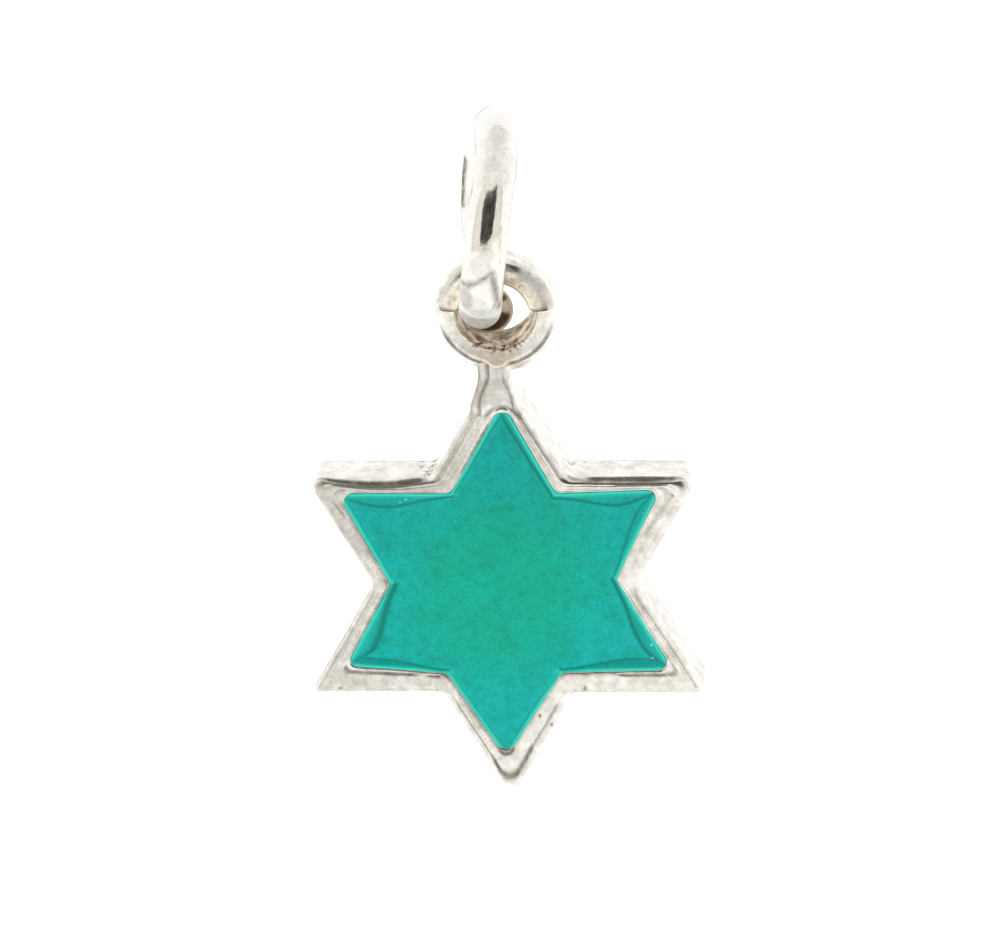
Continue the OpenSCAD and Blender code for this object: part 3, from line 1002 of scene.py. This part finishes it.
def make_ring(s, r):
    """The jump ring: a round wire bent round, its ends a little out of line"""
    wire, ring_r = r.wire_d / 2 / MM, (r.ring_od - r.wire_d) / 2 / MM
    cut = math.degrees(r.seam_gap / MM / ring_r)
    start = math.degrees(r.seam_at) + cut / 2
    stop = 360 + math.degrees(r.seam_at) - cut / 2
    seat, pivot = seat_of(s, r)
    around = WIRE_STEPS
    rings, thetas, dark = [], [], []

    def section(theta, size, push, dimming):
        """Points round the wire at one place, at a share of its size, pushed ahead"""
        t = math.radians(theta)
        centre = np.array((float(table_curve(RING_DRIFT, 1, theta)), -ring_r * math.sin(t),
                           ring_r - ring_r * math.cos(t)))
        out = np.array((0, -math.sin(t), -math.cos(t)))
        ahead = np.array((0, -math.cos(t), math.sin(t)))
        for p in 2 * math.pi * np.arange(around) / around:
            rings.append(centre + push * ahead
                         + size * wire * (math.cos(p) * out + math.sin(p) * np.array((1.0, 0, 0))))
        thetas.extend([theta] * around)
        dark.extend(np.broadcast_to(dimming, around))

    # Painted shade darkens the rounded end, and fades a little way along the wire
    for size, push in RING_START:
        section(start, size, push, 0.9)
    for theta in np.linspace(start, stop, RING_STEPS)[4:-6]:
        section(theta, 1.0, 0.0, 0.9 * math.exp(-((theta - start) / 1.5) ** 2) + 0.02)
    # The cutters spread the other end a little, and its cut face shows, with painted brown shade
    turns = (np.arange(around) * 360 / around + 180) % 360 - 180
    shaded_brown = 0.10 + 0.90 * np.maximum(smooth((60 - np.abs(turns - 32)) / 18),
                                       0.9 * smooth((24 - np.abs(turns - 140)) / 12))
    for size, push, share in RING_CUT:
        section(stop, size, push, share * shaded_brown)
    count = len(rings) // around
    points = np.array(rings)
    foot = points[:around].mean(axis=0)
    head = points[-around:].mean(axis=0)
    wire_only = slice(around * len(RING_START), -around * len(RING_CUT))
    points[wire_only] += 0.006 * wander(points[wire_only], 0.8, 91.0)[:, None]
    theta = np.array(thetas)
    p = (np.tile(np.arange(around) * 360 / around, count) + 180) % 360 - 180
    dark = np.array(dark)
    # Spots of painted shade
    for at, side, half_at, half_side, strength in RING_SHADE_SPOTS:
        f = np.hypot((theta - at) / half_at, (p - side) / half_side)
        spot = strength * (smooth((1 - f) / 0.25) + 0.6 * np.exp(-((f - 0.95) / 0.10) ** 2))
        dark = np.maximum(dark, spot)
    grain = wander(points, 9.0, 37.0)
    along_mm, around_mm = math.radians(1) * (ring_r + wire), math.radians(1) * wire
    # Dark strokes, among them painted shade along the outlines and a painted dark reflection
    for a0, p0, a1, p1, width, strength in RING_STROKES:
        step = np.array(((a1 - a0) * along_mm, (p1 - p0) * around_mm))
        off = np.stack(((theta - a0) * along_mm, (p - p0) * around_mm), axis=1)
        u = np.clip(off @ step / (step @ step), 0, 1)
        near = np.linalg.norm(off - u[:, None] * step, axis=1)
        dark = np.maximum(dark, strength * (1 + 0.35 * grain) * np.exp(-(near / width) ** 2))
    points = np.vstack((points, foot, head))
    # The end caps carry painted shade
    dark = np.append(np.clip(dark, 0, 1), (0.7, 0.5))
    faces = skin_faces(count, around)
    cy, sy, cl, sl = math.cos(r.yaw), math.sin(r.yaw), math.cos(r.lean), math.sin(r.lean)
    x, y, z = points.T
    x, y = x * cy - y * sy, x * sy + y * cy
    leaned = np.stack((x * cl + z * sl, y, -x * sl + z * cl), axis=1)
    theta = np.append(theta, (start, stop))
    # The brown mark paints shade on the cut face
    return new_piece("jump_ring_wire", leaned + pivot - seat, faces,
                     {"tarnish_and_shade": dark, "brown": 1.0 * (theta > stop - 1),
                      "rubbed": np.maximum(smooth((60 - theta) / 10), theta > stop - 4)})


BLACK, WHITE = (0, 0, 0), (1, 1, 1)


class NodePainter:
    """Small helper that adds nodes to a material or a world and joins them"""

    def __init__(self, tree):
        self.tree = tree
        tree.nodes.clear()

    def add(self, kind, inputs=None, **settings):
        node = self.tree.nodes.new(kind)
        for key, value in settings.items():
            setattr(node, key, value)
        for key, value in (inputs or {}).items():
            self.put(node.inputs[key], value)
        return node

    def put(self, socket, value):
        if isinstance(value, bpy.types.NodeSocket):
            self.tree.links.new(value, socket)
        elif isinstance(value, bpy.types.Node):
            self.tree.links.new(value.outputs[0], socket)
        else:
            socket.default_value = value

    def ramp(self, factor, stops):
        node = self.add("ShaderNodeValToRGB", {"Fac": factor})
        while len(node.color_ramp.elements) < len(stops):
            node.color_ramp.elements.new(0.5)
        for element, (place, colour) in zip(node.color_ramp.elements, stops):
            element.position = place
            element.color = rgba(colour)
        return node

    def mix(self, factor, first, second, blend="MIX"):
        node = self.add("ShaderNodeMix", data_type="RGBA", blend_type=blend)
        self.put(node.inputs[0], factor)
        self.put(node.inputs[6], first)
        self.put(node.inputs[7], second)
        return node.outputs[2]

    def maths(self, operation, first, second=0.0, clamp=False):
        return self.add("ShaderNodeMath", {0: first, 1: second}, operation=operation,
                        use_clamp=clamp).outputs[0]

    def times(self, first, second):
        return self.maths("MULTIPLY", first, second)

    def line(self, value, slope, start, clamp=False):
        """A value times a slope, plus a start"""
        return self.add("ShaderNodeMath", {0: value, 1: slope, 2: start},
                        operation="MULTIPLY_ADD", use_clamp=clamp).outputs[0]

    def rise(self, value, low, high):
        """Black up to one value, and white from another"""
        return self.ramp(value, ((low, BLACK), (high, WHITE)))

    def mark(self, name):
        """An amount kept on the mesh's points"""
        return self.add("ShaderNodeAttribute", attribute_name=name).outputs["Fac"]

    def noise(self, place, scale, detail, roughness=0.5):
        return self.add("ShaderNodeTexNoise", {"Vector": place, "Scale": scale, "Detail": detail,
                                               "Roughness": roughness}).outputs["Fac"]

    def bumps(self, height, strength, distance_mm):
        return self.add("ShaderNodeBump", {"Height": height, "Strength": strength,
                                           "Distance": distance_mm * MM}).outputs[0]

    def finish(self, **inputs):
        """The surface itself, from its inputs with their spaces as underscores"""
        inputs = {key.replace("_", " "): value for key, value in inputs.items()}
        shader = self.add("ShaderNodeBsdfPrincipled", inputs)
        self.add("ShaderNodeOutputMaterial", {"Surface": shader})


def rgba(colour):
    return (colour[0], colour[1], colour[2], 1.0)


def new_material(name):
    material = bpy.data.materials.new(name)
    material.use_nodes = True
    return material, NodePainter(material.node_tree)


def scaled_place(paint, scale, turn=(0, 0, 0)):
    """Object coordinates times a scale, a thousand to count them in millimetres"""
    place = paint.add("ShaderNodeTexCoord").outputs["Object"]
    return paint.add("ShaderNodeMapping", {"Vector": place, "Scale": scale,
                                           "Rotation": turn}).outputs[0]


def polished_silver(name, finish, dullness, roughness, dents):
    """Polished silver with clouds of wear, fine scratches and tarnish in its crevices, and with
    painted shade and painted dark reflections from its marks
    """
    material, paint = new_material(name)
    place = scaled_place(paint, (1000, 1000, 1000))
    clouds = paint.noise(place, 2.4, 5.0, 0.66)
    specks = paint.noise(place, 9.0, 4.0, 0.7)
    hairs = paint.noise(scaled_place(paint, (1500, 1500, 9000), (0.3, 0.5, 0.2)), 2.0, 3.0)
    tarnish_and_shade, brown = paint.mark("tarnish_and_shade"), paint.mark("brown")
    dimmed = paint.maths("ADD", tarnish_and_shade, 1.0, clamp=True)
    wear = paint.times(paint.times(paint.rise(clouds, 0.36, 0.66), dullness), dimmed)
    colour = paint.mix(wear, rgba(finish.bright), rgba(finish.dull))
    speck = paint.times(paint.times(paint.rise(specks, 0.60, 0.75), 0.35), dimmed)
    colour = paint.mix(speck, colour, rgba(finish.dull))
    # The specks make the edges of the tarnish and of the painted shade ragged
    ragged = paint.times(paint.line(specks, 0.6, -0.30), paint.maths("GREATER_THAN", tarnish_and_shade, 0.08))
    amount = paint.maths("ADD", tarnish_and_shade, ragged, clamp=True)
    tarnish_and_shade_colour = paint.mix(brown, rgba(finish.tarnish_and_shade), rgba(finish.brown))
    colour = paint.mix(amount, colour, tarnish_and_shade_colour)
    # Brown marks warm the colour, as painted shade inside the loop and on the jump ring's cut face
    colour = paint.mix(brown, colour, (1.0, 0.90, 0.76, 1.0), "MULTIPLY")
    rough = paint.line(clouds, roughness, 0.75 * roughness)
    rough = paint.maths("ADD", rough, paint.times(amount, 0.45), clamp=True)
    rough = paint.maths("ADD", rough, paint.times(paint.mark("rubbed"), 0.40), clamp=True)
    height = paint.maths("ADD", clouds, paint.times(specks, 0.22))
    height = paint.maths("ADD", height, paint.times(hairs, 0.05))
    paint.finish(Base_Color=colour, Metallic=1.0, Roughness=rough,
                 Normal=paint.bumps(height, dents, 0.04))
    return material


def fired_enamel(name, finish):
    """Opaque fired enamel: clouded teal under a clear gloss, with small bubbles"""
    material, paint = new_material(name)
    place = scaled_place(paint, (1000, 1000, 1000))
    clouds = paint.noise(place, 1.3, 5.0, 0.65)
    spread = paint.line(paint.noise(place, 0.33, 2.0), 1.2, -0.6)
    spread = paint.maths("ADD", spread, paint.mark("arm"), clamp=True)
    colour = paint.mix(spread, rgba(finish.teal), rgba(finish.blue))
    patches = paint.ramp(clouds, ((0.30, WHITE), (0.52, BLACK)))
    colour = paint.mix(paint.times(patches, 0.65), colour, rgba(finish.green))
    grain = paint.ramp(paint.noise(place, 14.0, 2.0), ((0.30, (0.84, 0.86, 0.86)),
                                                       (0.70, (1.10, 1.08, 1.08))))
    mottle = paint.ramp(paint.noise(place, 3.6, 6.0, 0.7), ((0.34, (0.78, 0.83, 0.81)),
                                                            (0.50, WHITE),
                                                            (0.68, (1.07, 1.05, 1.06))))
    for shade_of in (grain, mottle):
        colour = paint.mix(1.0, colour, shade_of, "MULTIPLY")
    # The upper point is a little darker
    height = paint.add("ShaderNodeSeparateXYZ", {0: place}).outputs["Z"]
    upper = paint.line(height, 0.25, 3.1, clamp=True)
    colour = paint.mix(upper, colour, (0.83, 0.84, 0.83, 1.0), "MULTIPLY")
    # A painted highlight along the edge, and painted dark reflections just inside it
    colour = paint.mix(paint.times(paint.mark("rim"), 0.95), colour, rgba(finish.edge))
    colour = paint.mix(paint.mark("line"), colour, rgba(finish.line))
    bubbles = paint.add("ShaderNodeTexVoronoi", {"Vector": place, "Scale": 3.0})
    near = paint.maths("LESS_THAN", bubbles.outputs["Distance"], 0.13)
    few = paint.maths("GREATER_THAN", bubbles.outputs["Color"], 0.66)
    spot = paint.times(near, few)
    colour = paint.mix(paint.times(spot, 0.6), colour, (0.25, 0.80, 0.68, 1.0))
    paint.finish(Base_Color=colour, Roughness=0.30, Specular_IOR_Level=0.08, Coat_Weight=0.08,
                 Coat_Roughness=0.05, Normal=paint.bumps(clouds, 0.10, 0.03))
    return material


def give(piece, material):
    piece.data.materials.clear()
    piece.data.materials.append(material)


class PENDANT_OT_setting(bpy.types.Operator):
    """Makes the cast silver star with its neck and loop"""

    bl_idname = "pendant.setting"
    bl_label = "Silver setting"

    def execute(self, context):
        s = context.scene.pendant_setting
        loop_z = (s.star_r + s.neck_rise + s.loop_r) / MM
        piece = fused("silver_setting", [make_tray(s), make_cup(s, loop_z), make_arch(s, loop_z)])
        shade(piece)
        give(piece, polished_silver("cast silver", context.scene.pendant_silver,
                                    dullness=0.72, roughness=0.16, dents=0.22))
        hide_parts("star_setting")
        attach(piece, "star")
        return {"FINISHED"}


class PENDANT_OT_enamel(bpy.types.Operator):
    """Makes the teal enamel in the star's recess"""

    bl_idname = "pendant.enamel"
    bl_label = "Teal enamel"

    def execute(self, context):
        piece = make_enamel(context.scene.pendant_setting, context.scene.pendant_enamel)
        shade(piece)
        give(piece, fired_enamel("fired enamel", context.scene.pendant_enamel_finish))
        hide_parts("enamel_inlay")
        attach(piece, "star")
        return {"FINISHED"}


class PENDANT_OT_ring(bpy.types.Operator):
    """Makes the jump ring"""

    bl_idname = "pendant.ring"
    bl_label = "Jump ring"

    def execute(self, context):
        piece = make_ring(context.scene.pendant_setting, context.scene.pendant_ring)
        shade(piece)
        give(piece, polished_silver("drawn silver wire", context.scene.pendant_silver,
                                    dullness=0.30, roughness=0.07, dents=0.18))
        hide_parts("jump_ring")
        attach(piece, "bail")
        return {"FINISHED"}


# The studio as polished metal sees it: a white tent, brightest behind the pendant.
# Columns: sine of the height above the level, brightness.
TENT = (
    (-1.00, 1.10),
    (-0.30, 1.22),
    (-0.18, 1.36),
    (0.05, 1.34),
    (0.60, 1.28),
    (0.80, 1.16),
    (1.00, 1.10),
)


def light_studio(context):
    """Soft light from all sides, with a warm paper and a dark gap in front"""
    world = bpy.data.worlds.new("white tent")
    context.scene.world = world
    world.use_nodes = True
    paint = NodePainter(world.node_tree)
    way = paint.add("ShaderNodeTexCoord").outputs["Generated"]
    parts = paint.add("ShaderNodeSeparateXYZ", {0: way})
    level = paint.line(parts.outputs["Z"], 0.5, 0.5)
    tent = paint.ramp(level, [((z + 1) / 2, (b, b, b)) for z, b in TENT])
    front = paint.times(parts.outputs["Y"], -1.0)
    above = paint.ramp(parts.outputs["Z"], ((0.55, (1.07, 1.03, 0.95)), (0.80, (1.20, 1.18, 1.12))))
    seen = paint.mix(paint.rise(front, 0.30, 0.34), tent, above)
    edge = paint.ramp(front, ((0.24, BLACK), (0.30, WHITE), (0.33, WHITE), (0.40, BLACK)))
    low = paint.ramp(parts.outputs["Z"], ((0.45, WHITE), (0.60, BLACK)))
    edge = paint.times(edge, low)
    seen = paint.mix(paint.times(edge, 0.5), seen, (0.45, 0.43, 0.40, 1.0))
    # The unlit gap in front, which the polished ring mirrors as a dark patch
    ragged = paint.noise(way, 5.0, 3.0)
    reach = paint.line(ragged, 1.0, 0.47)
    for part, middle, half in (("X", 0.05, 0.56), ("Z", 0.32, 0.44)):
        off = paint.times(paint.maths("SUBTRACT", parts.outputs[part], middle), 1 / half)
        off = paint.times(off, off)
        reach = paint.maths("SUBTRACT", reach, paint.times(off, off))
    reach = paint.times(reach, paint.maths("GREATER_THAN", front, 0.2))
    patch = paint.rise(reach, 0.02, 0.14)
    gloom = paint.ramp(ragged, ((0.38, (0.040, 0.038, 0.036)), (0.62, (0.150, 0.138, 0.132))))
    seen = paint.mix(patch, seen, gloom)
    rays = paint.add("ShaderNodeLightPath")
    seen = paint.mix(rays.outputs["Is Camera Ray"], seen, (1.0, 1.0, 1.0, 1.0))
    back = paint.add("ShaderNodeBackground", {"Color": seen, "Strength": 1.0})
    paint.add("ShaderNodeOutputWorld", {"Surface": back})


# The floor's width and its drop below the origin, in metres, and how much it glows.
FLOOR_SIZE, FLOOR_DROP, FLOOR_GLOW = 2.4, 0.30, 0.42


def lay_floor(context, colour):
    bpy.ops.mesh.primitive_plane_add(size=FLOOR_SIZE, location=(0, 0, -FLOOR_DROP))
    floor = context.object
    floor.name = "pale_floor"
    material, paint = new_material("pale floor")
    paint.finish(Base_Color=rgba(colour), Roughness=0.9, Emission_Color=rgba(WHITE),
                 Emission_Strength=FLOOR_GLOW)
    give(floor, material)


# How the photograph is framed: its scale, its size, where the middle of the star's front
# lies in it, and a long lens on the camera.
PX_PER_MM = 37.0
PHOTO = (1000, 932)
STAR_AT = (504.5, 586.0)
LENS = 500.0
SENSOR = 36.0


def set_camera(context, stage):
    """A long lens at the photograph's angle, with the star's front where the photo has it"""
    s = context.scene.pendant_setting
    seat, _ = seat_of(s, context.scene.pendant_ring)
    star = Vector((-seat[0], -s.plate_t / 2 / MM - seat[1], -seat[2]))
    a, e, roll = stage.azimuth, stage.elevation, stage.roll
    back = Vector((math.sin(a) * math.cos(e), -math.cos(a) * math.cos(e), math.sin(e)))
    right = Vector((math.cos(a), math.sin(a), 0))
    up = back.cross(right)
    right, up = (right * math.cos(roll) - up * math.sin(roll),
                 up * math.cos(roll) + right * math.sin(roll))
    across = (PHOTO[0] / 2 - STAR_AT[0]) / PX_PER_MM
    above = (STAR_AT[1] - PHOTO[1] / 2) / PX_PER_MM
    target = star + right * across + up * above
    distance = PHOTO[0] / PX_PER_MM * LENS / SENSOR
    data = bpy.data.cameras.new("camera")
    data.lens, data.sensor_width = LENS, SENSOR
    data.clip_start, data.clip_end = 0.01, 20.0
    camera = linked("camera", data)
    camera.location = (target + back * distance) * MM
    camera.rotation_mode = "QUATERNION"
    camera.rotation_quaternion = Matrix((right, up, back)).transposed().to_quaternion()
    context.scene.camera = camera


class PENDANT_OT_stage(bpy.types.Operator):
    """Sets up the pale floor, the soft light and the camera"""

    bl_idname = "pendant.stage"
    bl_label = "Stage"

    def execute(self, context):
        stage = context.scene.pendant_stage
        context.scene.view_settings.view_transform = "Standard"
        light_studio(context)
        lay_floor(context, stage.floor_colour)
        set_camera(context, stage)
        return {"FINISHED"}


class PENDANT_PT_panel(bpy.types.Panel):
    """Sizes, colours and steps of the pendant"""

    bl_label = "Star pendant"
    bl_idname = "PENDANT_PT_panel"
    bl_space_type = "VIEW_3D"
    bl_region_type = "UI"
    bl_category = "Pendant"

    def draw(self, context):
        for operator, groups in STEPS:
            box = self.layout.box()
            box.operator(operator.bl_idname)
            for group in groups:
                settings = getattr(context.scene, group)
                for name in settings.__annotations__:
                    box.prop(settings, name)


GROUPS = {
    "pendant_setting": SettingSizes,
    "pendant_enamel": EnamelSizes,
    "pendant_ring": RingSizes,
    "pendant_silver": SilverFinish,
    "pendant_enamel_finish": EnamelFinish,
    "pendant_stage": StageSettings,
}
STEPS = (
    (PENDANT_OT_setting, ("pendant_setting", "pendant_silver")),
    (PENDANT_OT_enamel, ("pendant_enamel", "pendant_enamel_finish")),
    (PENDANT_OT_ring, ("pendant_ring",)),
    (PENDANT_OT_stage, ("pendant_stage",)),
)


def register():
    for group in GROUPS.values():
        bpy.utils.register_class(group)
    for name, group in GROUPS.items():
        setattr(bpy.types.Scene, name, PointerProperty(type=group))
    for operator, _ in STEPS:
        bpy.utils.register_class(operator)
    bpy.utils.register_class(PENDANT_PT_panel)


def unregister():
    bpy.utils.unregister_class(PENDANT_PT_panel)
    for operator, _ in reversed(STEPS):
        bpy.utils.unregister_class(operator)
    for name, group in GROUPS.items():
        delattr(bpy.types.Scene, name)
        bpy.utils.unregister_class(group)


def main():
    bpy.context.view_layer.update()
    register()
    bpy.ops.pendant.setting()
    bpy.ops.pendant.enamel()
    bpy.ops.pendant.ring()
    bpy.ops.pendant.stage()


if __name__ == "__main__":
    main()
